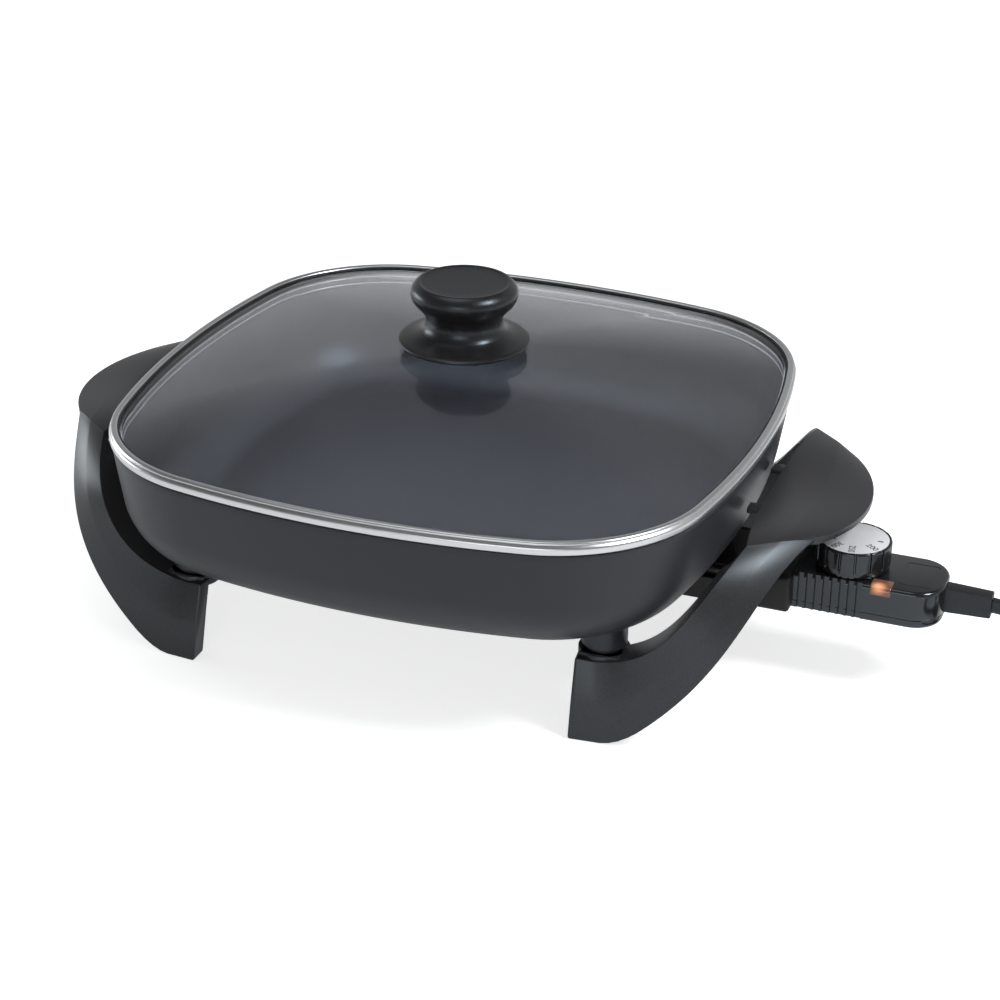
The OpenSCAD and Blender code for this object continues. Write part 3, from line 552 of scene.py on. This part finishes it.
# Along a leg, where t runs from 0 at the foot to 1 at the crease: how fast the skin thins and its
# normal tips over, and where the flange widens, narrows again and turns inwards
THIN_RATE, LEVEL_RATE = 1.15, 1.6
WIDEN_HEAD_START, WIDEN_OVER = 0.45, 0.12
NARROW_BY, NARROW_FROM, NARROW_OVER = 0.52, 0.78, 0.24
LEAN_FROM, LEAN_OVER = 0.8, 0.2
FOOT_SIDE = Vector((-0.12, 1, 0))  # the way the flange points at the foot
GRIP_REACH, GRIP_DROP, GRIP_SAG = 211.0, 15.9, 0.6
GRIP_ARC = (LOW[3].y ** 2 + GRIP_DROP ** 2) / (2 * GRIP_DROP)
INNER_X, INNER_BOW, INNER_Z = 162, 5.8, (92, 11, -9)  # INNER_Z: factors of 1, g**2 and g**4
SOFT_R, SOFT_SHARE, SOFT_BULGE = 1.0, 0.42, 0.7
TOE_INSET, TOE_SHIFT = 0.7, Vector((0.7, 0.06, 0))
LUG_TOP, LUG_LOW = 40.2, 34.2
LUG = [(2.75, LUG_TOP), (12.0, LUG_TOP), (12.4, LUG_TOP - 0.4), (12.4, LUG_LOW + 0.4),
       (12.0, LUG_LOW), (6.5, LUG_LOW), (6.5, 35.7), (2.75, 35.7)]
LUG_ARM_X, LUG_ARM_Y = (98.4, 120.0), (93, 103)
RIB_X, RIB_Y, RIB_Z, EDGE_R = (156.4, 164.4), (20, 27), (88.4, 91.6), 0.6


def smooth(t):
    c = min(1, max(0, t))
    return c * c * (3 - 2 * c)


def mix(a, b, t):
    return a * (1 - t) + b * t


def bezier(p, t):
    return (p[0] * (1 - t) ** 3 + p[1] * 3 * (1 - t) ** 2 * t + p[2] * 3 * (1 - t) * t * t
            + p[3] * t ** 3)


def low_edge(t):
    if t >= CORNER_T:
        return bezier(LOW, t)
    s = t / CORNER_T
    return mix(mix(FOOT_EDGE[1], LOW[0], s), mix(LOW[0], bezier(LOW, CORNER_T), s), s)


def high_edge(t):
    if t >= CORNER_T:
        return bezier(HIGH, t)
    return mix(FOOT_TOP[1], bezier(HIGH, CORNER_T), t / CORNER_T)


def handle_ring(low, high, along, thick, flange, level, lean):
    """Outer skin, top flange and inner skin.

    level is the share of the skin normal's rise or fall that counts, and lean how far the flange
    has turned from the foot's side to that normal; both run from 0 to 1.
    """
    n = (high - low).cross(along).normalized()
    inward = Vector((n.x, n.y, n.z * level)).normalized()
    side = mix(FOOT_SIDE, inward, lean).normalized()
    down = (low - high).normalized()
    middle = (low + high) / 2
    under = side.cross(along).normalized() * FLANGE_T
    fold = side.dot(down) / side.dot(inward)
    root = thick * fold + FLANGE_T * math.sqrt(1 + fold * fold)
    return [low, middle - inward * SKIN_BULGE, high, high + side * flange,
            high + side * flange + under, high + inward * thick + down * root,
            middle + inward * thick, low + inward * thick]


def foot_ring(s):
    """Upright part of the foot; s runs from its outer corner (0) to the leg's start (1)."""
    return handle_ring(mix(*FOOT_EDGE, s), mix(*FOOT_TOP, s), Vector((1, 0, 0)), FOOT_T,
                       FOOT_T + FOOT_FLANGE + FOOT_FLANGE_GAIN * s, 0, 0)


def leg_ring(t):
    """t runs from the foot (0) to the crease at the grip (1)."""
    a, b = max(0, t - TANGENT_T), min(1, t + TANGENT_T)
    along = ((low_edge(b) + high_edge(b)) - (low_edge(a) + high_edge(a))).normalized()
    thick = mix(FOOT_T, GRIP_T, smooth(t * THIN_RATE))
    widening = smooth(t / WIDEN_OVER + WIDEN_HEAD_START)
    narrowing = 1 - NARROW_BY * smooth((t - NARROW_FROM) / NARROW_OVER)
    flange = max(thick + FLANGE_MIN, FLANGE_REACH * widening * narrowing)
    return handle_ring(low_edge(t), high_edge(t), along, thick, flange, smooth(t * LEVEL_RATE),
                       smooth((t - LEAN_FROM) / LEAN_OVER))


def grip_ring(g):
    """g runs from one crease (-1) over the middle of the grip (0) to the other (1)."""
    y = -g * LOW[3].y
    outer = Vector((GRIP_REACH - GRIP_ARC + math.sqrt(GRIP_ARC ** 2 - y * y), y,
                    LOW[3].z - GRIP_SAG * (1 - g * g)))
    inner = Vector((INNER_X + INNER_BOW * g * g, -g * HIGH[3].y,
                    INNER_Z[0] + INNER_Z[1] * g * g + INNER_Z[2] * g ** 4))
    return handle_ring(outer, inner, Vector((0, 1, 0)), GRIP_T, GRIP_T + FLANGE_MIN, 1, 1)


def soften(ring):
    """Rounds a closed ring's corners with short curves."""
    out = []
    for i, p in enumerate(ring):
        a, b = ring[i - 1], ring[(i + 1) % len(ring)]
        pa = p + (a - p).normalized() * min(SOFT_R, SOFT_SHARE * (a - p).length)
        pb = p + (b - p).normalized() * min(SOFT_R, SOFT_SHARE * (b - p).length)
        out += [pa, (pa + pb) * ((1 - SOFT_BULGE) / 2) + p * SOFT_BULGE, pb]
    return out


def handle_mesh():
    """Right handle, and the pairs of points along its two creases."""
    rings = [foot_ring(i / FOOT_STEPS) for i in range(FOOT_STEPS)]
    rings += [leg_ring(i / LEG_STEPS) for i in range(LEG_STEPS)]
    crease = len(rings) + 1  # one more ring, the toe, goes in front below
    rings.append([(a + b) / 2 for a, b in zip(leg_ring(1), grip_ring(-1))])
    rings += [grip_ring(i / GRIP_STEPS - 1) for i in range(1, GRIP_STEPS + 1)]
    rings = [soften(r) for r in rings]
    middle = sum(rings[0], Vector()) / len(rings[0])
    toe = [p + (middle - p).normalized() * TOE_INSET for p in rings[0]]
    rings = [toe, [p + TOE_SHIFT for p in rings[0]]] + rings[1:]
    rings += [[Vector((p.x, -p.y, p.z)) for p in r] for r in rings[-2::-1]]
    n = len(rings[0])
    creases = [(row * n + j, row * n + (j + 1) % n)
               for row in (crease, len(rings) - 1 - crease) for j in range(n)]
    parts = [capped(rings)]
    for s in (-1, 1):
        parts.append(looped(turned(LUG, POST_X, s * POST_Y, 48)))
        arm_y, rib_y = (sorted(s * y for y in span) for span in (LUG_ARM_Y, RIB_Y))
        parts.append(block(*LUG_ARM_X, *arm_y, LUG_LOW, LUG_TOP, EDGE_R))
        parts.append(block(*RIB_X, *rib_y, *RIB_Z, EDGE_R))
    return join(*parts), creases


(verts, faces), creases = handle_mesh()
build("grip_right", (verts, faces), "base", "handle_plastic", ("right_handle",), sharp=50,
      crease=creases)
build("grip_left", ([(-x, y, z) for x, y, z in verts], faces), "base", "handle_plastic",
      ("left_handle",), sharp=50, crease=creases)


# ---------------------------------------------------------------- heat control

C_START, C_END, C_HALF, C_TOP, C_UNDER, SPLIT = 180.0, 252.0, 20.0, 57.4, 38.0, 42.5
END_R, END_STEPS = 15.0, 14
NOTCHES, NOTCH_X, NOTCH_PITCH, NOTCH_W, NOTCH_DEPTH, NOTCH_SLOPE = 8, 182.6, 4.1, 2.9, 1.9, 0.25
NOTCH_LEAST = 0.04  # depth that is left where the rounded edges reach the grooves' floor
SIDE_X = 217.0  # a point on the plain side behind the grooves
COVER_R, TRAY_R = 2.2, 2.0
# Inset and height of the two halves beside the seam between them
COVER_SEAM = [(0.35, SPLIT), (0.1, SPLIT + 0.15), (0, SPLIT + 0.4), (0, 50.0)]
TRAY_SEAM = [(0, SPLIT - 0.5), (0.1, SPLIT - 0.2), (0.35, SPLIT - 0.02)]
NOSE = (153, 180, -25, 25, 37, 56, 2.0)
HOOD = (135.5, 154, -20, 20, 53.4, 55.6, 0.8)
PANEL_X, PANEL_Y, PANEL_R, PANEL_R_LOSS = (232, 245), 10, 2.0, 0.6
PANEL = ((0, -0.05), (0.25, 0.18), (0.75, 0.18), (1.0, -0.05))  # inward, height above C_TOP
LENS_X0, LENS_X1, LENS_MIDDLE = 218.0, 228.2, (-16.2, 55.3)
LENS_TAPER = ((0, 0.9), (0.25, 0.97), (0.8, 1))  # distance from either end, size of the section
LENS_SECTION = ([(-12.0, 52.9), (-19.4, 52.9), (-20.2, 53.2), (-20.35, 53.8), (-20.35, 54.6)]
                + arc(-17.15, 54.6, 3.2, 172, 90, 8) + [(-12.0, 57.8)])


def housing_plan(inset, z):
    """The housing's outline with its upright cooling grooves."""
    y = C_HALF - inset
    deep = min(C_HALF - NOTCH_DEPTH, y - NOTCH_LEAST)
    r = END_R - inset
    side = [(C_START, y)]
    for i in range(NOTCHES):
        x = NOTCH_X + NOTCH_PITCH * i
        side += [(x, y), (x + NOTCH_SLOPE, deep), (x + NOTCH_W - NOTCH_SLOPE, deep),
                 (x + NOTCH_W, y)]
    side.append((SIDE_X, y))
    end_x, end_y = C_END - END_R, C_HALF - END_R
    front = [(x, -y) for x, y in side] + arc(end_x, -end_y, r, -90, 0, END_STEPS)
    rear = arc(end_x, end_y, r, 0, 90, END_STEPS) + side[::-1]
    return [(x, y, z) for x, y in front + rear]


def housing(levels):
    return capped([housing_plan(inset, z) for inset, z in levels])


cover_edge = [(COVER_R - x, C_TOP - COVER_R + z) for x, z in arc(0, 0, COVER_R, 0, 90, 6)]
tray_edge = [(TRAY_R - x, C_UNDER + TRAY_R + z) for x, z in arc(0, 0, TRAY_R, -90, 0, 5)]
build("control_cover", housing(COVER_SEAM + cover_edge), "control", "control_gloss",
      ("control_upper_housing",))
build("control_tray", housing(tray_edge + TRAY_SEAM), "control", "control_gloss",
      ("control_lower_housing",))
build("contact_nose", join(block(*NOSE), block(*HOOD)), "control", "nose_matte",
      ("control_nose",))


def panel_outline():
    """Thin raised outline of the rectangular panel on the cover's outer end."""
    x0, x1 = PANEL_X
    corners = ((x1, PANEL_Y, 0), (x0, PANEL_Y, 90), (x0, -PANEL_Y, 180), (x1, -PANEL_Y, 270))
    return looped([[(x, y, C_TOP + z) for cx, cy, a in corners
                    for x, y in arc(cx, cy, PANEL_R - w * PANEL_R_LOSS, a, a + 90, 5)]
                   for w, z in PANEL])


build("panel_outline", panel_outline(), "control", "control_gloss")


def pilot_lens():
    """Rounded window over the neon lamp, on the cover's front upper edge."""
    cy, cz = LENS_MIDDLE
    places = [(LENS_X0 + d, k) for d, k in LENS_TAPER]
    places += [(LENS_X1 - d, k) for d, k in reversed(LENS_TAPER)]
    return capped([[(x, cy + (y - cy) * k, cz + (z - cz) * k) for y, z in LENS_SECTION]
                   for x, k in places])


build("pilot_lens", pilot_lens(), "control", "lens_amber", ("indicator_lens",))


# ---------------------------------------------------------------- dial

DIAL_X, DIAL_R, DIAL_Z, DIAL_TOP = 205.0, 18.4, 57.8, 71.6
FLUTES, FLUTE_POINTS, FLUTE_START = 15, 24, math.radians(8)
FLUTE_DEPTH, FLUTE_HALF = 0.95, 0.085  # FLUTE_HALF: half a groove's width, as a share of a pitch
# Inset from DIAL_R, height above DIAL_Z or DIAL_TOP, share of the flutes' depth
DIAL_LOW = ((1.2, 0, 0), (0.6, 0.3, 0), (0.3, 1.2, 0), (0.15, 2.2, 0), (0.1, 2.9, 0.35),
            (0, 3.5, 0.8), (0, 4.3, 1))
DIAL_HIGH = ((0, -1.2, 1), (0.1, -0.5, 1), (0.35, -0.05, 0.9), (0.75, 0.15, 0.5),
             (1.2, 0.15, 0.1), (1.45, 0, 0), (1.5, -0.9, 0), (DIAL_R - 1.0, -0.9, 0))
PLATE = [(0.3, DIAL_TOP - 0.85), (DIAL_R - 1.55, DIAL_TOP - 0.85),
         (DIAL_R - 1.55, DIAL_TOP - 0.12), (DIAL_R - 1.75, DIAL_TOP), (0.3, DIAL_TOP)]
NUMBERS = ((-34.6, "200"), (-84.9, "250"), (-122.5, "300"), (-160, "350"), (-197.5, "400"))
NUMBER_END, NUMBER_SIZE, NUMBER_BOLD, PRINT_T = 15.6, 4.6, 0.09, 0.02
OFF_MARK, OFF_ANGLE = (11.3, 14.0, -0.6, 0.6, DIAL_TOP, DIAL_TOP + 2 * PRINT_T, 0.02, 1), 2.8


def dial_mesh():
    """Fluted knob: grooves with round bottoms run down from the top edge."""
    rows = [(DIAL_R - inset, DIAL_Z + z, depth) for inset, z, depth in DIAL_LOW]
    rows += [(DIAL_R - inset, DIAL_TOP + z, depth) for inset, z, depth in DIAL_HIGH]
    n = FLUTES * FLUTE_POINTS
    rings = []
    for r, z, depth in rows:
        ring = []
        for i in range(n):
            u = (i % FLUTE_POINTS) / FLUTE_POINTS - 0.5
            a = 2 * math.pi * i / n + FLUTE_START
            groove = FLUTE_DEPTH * depth * max(0.0, 1 - (u / FLUTE_HALF) ** 4)
            ring.append((DIAL_X + (r - groove) * math.cos(a), (r - groove) * math.sin(a), z))
        rings.append(ring)
    return capped(rings)


def dial_numbers():
    """Plain numbers that read along the radius, and a short mark for the off place."""
    parts = []
    for angle, text in NUMBERS:
        curve = bpy.data.curves.new("number", "FONT")
        curve.body = text
        curve.size = NUMBER_SIZE
        curve.extrude = PRINT_T
        curve.offset = NUMBER_BOLD
        curve.align_x = "RIGHT"
        curve.align_y = "CENTER"
        holder = bpy.data.objects.new("number", curve)
        scene.collection.objects.link(holder)
        bpy.context.view_layer.update()
        evaluated = holder.evaluated_get(bpy.context.evaluated_depsgraph_get())
        mesh = bpy.data.meshes.new_from_object(evaluated)
        turn = Matrix.Rotation(math.radians(angle), 4, "Z")
        middle = Matrix.Translation((DIAL_X, 0, DIAL_TOP + PRINT_T))
        place = middle @ turn @ Matrix.Translation((NUMBER_END, 0, 0))
        parts.append(([tuple(place @ v.co) for v in mesh.vertices],
                      [tuple(p.vertices) for p in mesh.polygons]))
        bpy.data.objects.remove(holder)
        bpy.data.curves.remove(curve)
        bpy.data.meshes.remove(mesh)
    verts, faces = block(*OFF_MARK)
    turn = Matrix.Rotation(math.radians(OFF_ANGLE), 4, "Z")
    parts.append(([tuple(turn @ Vector(v) + Vector((DIAL_X, 0, 0))) for v in verts], faces))
    return join(*parts)


build("dial_body", dial_mesh(), "dial", "control_gloss", ("dial_knob",), sharp=40)
build("dial_plate", lathe(PLATE, DIAL_X), "dial", "dial_white", ("dial_face",))
build("dial_numbers", dial_numbers(), "dial", "dial_white", look="dial_print")


# ---------------------------------------------------------------- cord, cord grip and plug

CORD_W, CORD_T, CORD_Z = 8.0, 4.4, 48.4
VALLEY_DEPTH, VALLEY_SHARE = 0.25, 0.45  # VALLEY_SHARE: of the way out to the halves' middles
COIL_IN, COIL_PITCH, TURNS, COIL_X, COIL_Z, COIL_STEPS = 39.5, 4.8, 2.75, 357.0, 4.0, 66
COIL_OUT = COIL_IN + COIL_PITCH * TURNS
LANDING, LANDING_PART = 2.5, 9  # height of the lead over the coil, let down in a ninth of it
LEAD_STEPS = 4
LEAD = [(274.5, 0, CORD_Z), (288, 0, 47), (301, 0, 41), (313, 0, 32), (325, 0, 23),
        (337, 0, 15), (349, 0, 9), (COIL_X, -0.5, 6.5)]
PLUG_AT = (COIL_X - COIL_OUT, -10.0, 8.5)
TAIL = ((-35, 4.1), (-29, 4.6), (-23, 5.6), (-17, 7.0), PLUG_AT[1:])  # y, z
# Place along the axis, half width, half height, corner radius
SLEEVE = ((246.2, 4.25, 6.5, 0.9), (252.0, 4.3, 6.6, 0.9), (256.0, 4.25, 6.5, 0.9),
          (273.6, 4.0, 5.95, 0.9), (274.3, 3.9, 5.8, 0.85), (274.5, 3.4, 5.3, 0.7))
SLEEVE_FLANGE = (242, 246, -11, 11, 41, 53, 0.3, 1)
PLUG = ((0.0, 4.3, 4.8, 1.6), (0.5, 4.6, 5.1, 1.9), (4.0, 5.2, 5.7, 2.2), (8.0, 6.6, 7.0, 2.8),
        (12.0, 9.0, 8.3, 3.4), (15.0, 11.4, 8.5, 3.4), (17.5, 12.4, 8.5, 3.0),
        (20.0, 12.5, 8.5, 2.6), (24.0, 12.2, 8.4, 2.4), (27.0, 12.4, 8.5, 2.2),
        (27.7, 12.2, 8.3, 2.0), (28.0, 11.5, 7.6, 1.6))


def cord_route():
    """The lead down to the table, the stored spiral from the inside out, and the tail."""
    line = catmull(LEAD, LEAD_STEPS)[:-1]
    for i in range(COIL_STEPS + 1):
        s = i / COIL_STEPS
        a = math.radians(90 - 360 * TURNS * s)
        r = COIL_IN + COIL_PITCH * TURNS * s
        drop = LANDING * max(0, 1 - s * LANDING_PART) ** 2
        line.append(Vector((COIL_X + r * math.cos(a), -COIL_IN + r * math.sin(a),
                            COIL_Z + drop)))
    return line + [Vector((PLUG_AT[0], y, z)) for y, z in TAIL]


def flat_section():
    """A flat twin flex: two round halves with a shallow valley between them."""
    r = CORD_T / 2
    half = CORD_W / 2 - r
    side = [(r, half * VALLEY_SHARE), (r - VALLEY_DEPTH, 0), (r, -half * VALLEY_SHARE)]
    return (arc(0, half, r, 0, 180, 6) + [(-x, y) for x, y in side]
            + arc(0, -half, r, 180, 360, 6) + side[::-1])


def cord_grip():
    """Flat sleeve that tapers towards the cord."""
    sleeve = [[(x, y, CORD_Z + z) for y, z in rounded_rect(w, h, r)] for x, w, h, r in SLEEVE]
    return join(capped(sleeve), block(*SLEEVE_FLANGE))


def plug_body():
    x0, y0, z0 = PLUG_AT
    return capped([[(x0 + a, y0 + y, z0 + b) for a, b in rounded_rect(w, h, r)]
                   for y, w, h, r in PLUG])


grip_piece = build("cord_sleeve", cord_grip(), "control", "cord_rubber", ("strain_relief",))
plug_piece = build("mains_plug", plug_body(), "control", "cord_rubber", ("plug",))
route = cord_route()
mains = build("mains_cord", tube(route, flat_section()), "control", "cord_rubber",
              ("cord", "cord_coil", "cord_tail"), sharp=60)


# ---------------------------------------------------------------- stage and light

# Metres in this section
FLOOR_SIZE, FLOOR_Z, FLOOR_GREY, FLOOR_GLOW, FLOOR_MIRRORED = 8, -0.0004, 0.8, 0.71, 0.42
WORLD_LIGHT = 0.3  # brightness that falls on matt surfaces
ROOM_DARK, ROOM_LIGHT = 0.1, 0.44  # what reflections see of the dim room and of the white sweep
# The sweep by the direction a ray takes: it fades out upwards and, down to a share, to the front,
# and it reaches higher on the right
SWEEP_TOP, SWEEP_FRONT, SWEEP_FRONT_SHARE = (0.32, 0.7), (-0.5, 0.2), 0.3
SWEEP_RIGHT, SWEEP_RIGHT_LIFT = (-0.35, -0.05), 0.1
LAMP_COLOR = (0.95, 0.98, 1.0)
# Name, place, aim, width, height, radiance
LAMPS = (
    ("overhead", (-0.3, -0.1, 1.8), (0, 0, 0.05), 1.13, 1.13, 1.5),
    ("right", (1.05, -0.12, 1.18), (0.15, -0.08, 0.07), 0.47, 0.47, 25.0),
    ("left", (-1.9, 0.15, 0.32), (-0.15, 0, 0.08), 1.13, 0.47, 6.0),
    ("front", (0.25, -2.0, 0.55), (0.1, -0.1, 0.05), 1.35, 0.68, 2.6),
)


def combine(tree, operation, a, b):
    node = tree.nodes.new("ShaderNodeMath")
    node.operation = operation
    feed(tree, node, {0: a, 1: b})
    return node.outputs[0]


def seen_directly(tree, mirrored):
    """1 for camera and glass rays, the given share for mirrored ones, 0 for all other light."""
    path = tree.nodes.new("ShaderNodeLightPath")
    value = combine(tree, "MULTIPLY", path.outputs["Is Glossy Ray"], mirrored)
    for ray in ("Is Camera Ray", "Is Transmission Ray"):
        value = combine(tree, "MAXIMUM", path.outputs[ray], value)
    return value


def floor():
    """A white table: it takes shadows, and glows for the camera so that it meets the backdrop."""
    mesh = bpy.data.meshes.new("floor")
    s, z = FLOOR_SIZE / 2, FLOOR_Z
    mesh.from_pydata([(-s, -s, z), (s, -s, z), (s, s, z), (-s, s, z)], [], [(0, 1, 2, 3)])
    obj = bpy.data.objects.new("floor", mesh)
    scene.collection.objects.link(obj)
    m = bpy.data.materials.new("floor")
    m.use_nodes = True
    tree = m.node_tree
    tree.nodes.clear()
    diffuse = feed(tree, tree.nodes.new("ShaderNodeBsdfDiffuse"),
                   {"Color": (FLOOR_GREY, FLOOR_GREY, FLOOR_GREY, 1)})
    strength = combine(tree, "MULTIPLY", seen_directly(tree, FLOOR_MIRRORED), FLOOR_GLOW)
    emission = feed(tree, tree.nodes.new("ShaderNodeEmission"), {"Strength": strength})
    both = feed(tree, tree.nodes.new("ShaderNodeAddShader"),
                {0: diffuse.outputs[0], 1: emission.outputs[0]})
    feed(tree, tree.nodes.new("ShaderNodeOutputMaterial"), {"Surface": both.outputs[0]})
    mesh.materials.append(m)


def backdrop():
    """White for the camera; reflections see a white sweep low behind and a dim room elsewhere."""
    world = bpy.data.worlds.new("world")
    scene.world = world
    world.use_nodes = True
    tree = world.node_tree
    tree.nodes.clear()
    coord = tree.nodes.new("ShaderNodeTexCoord")
    split = feed(tree, tree.nodes.new("ShaderNodeSeparateXYZ"), {0: coord.outputs["Generated"]})
    path = tree.nodes.new("ShaderNodeLightPath")
    lift = remap(tree, split.outputs["X"], 0.0, SWEEP_RIGHT_LIFT, *SWEEP_RIGHT, "SMOOTHSTEP")
    height = combine(tree, "SUBTRACT", split.outputs["Z"], lift)
    low = remap(tree, height, 1.0, 0.0, *SWEEP_TOP, "SMOOTHSTEP")
    behind = remap(tree, split.outputs["Y"], SWEEP_FRONT_SHARE, 1.0, *SWEEP_FRONT, "SMOOTHSTEP")
    room = remap(tree, combine(tree, "MULTIPLY", low, behind), ROOM_DARK, ROOM_LIGHT)
    reflected = remap(tree, path.outputs["Is Glossy Ray"], WORLD_LIGHT, room)
    straight = combine(tree, "MAXIMUM", path.outputs["Is Camera Ray"],
                       path.outputs["Is Transmission Ray"])
    background = feed(tree, tree.nodes.new("ShaderNodeBackground"),
                      {"Color": (1, 1, 1, 1), "Strength": remap(tree, straight, reflected, 1.0)})
    feed(tree, tree.nodes.new("ShaderNodeOutputWorld"), {"Surface": background.outputs[0]})


def softbox(name, where, target, width, height, radiance):
    """A soft round lamp; its power follows from how bright its face looks."""
    light = bpy.data.lights.new(name, "AREA")
    light.shape = "ELLIPSE"
    light.size, light.size_y = width, height
    light.energy = radiance * math.pi * (math.pi / 4 * width * height)
    light.color = LAMP_COLOR
    obj = bpy.data.objects.new(name, light)
    scene.collection.objects.link(obj)
    obj.location = Vector(where)
    obj.rotation_euler = (Vector(where) - Vector(target)).to_track_quat("Z", "Y").to_euler()


floor()
backdrop()
for lamp in LAMPS:
    softbox(*lamp)
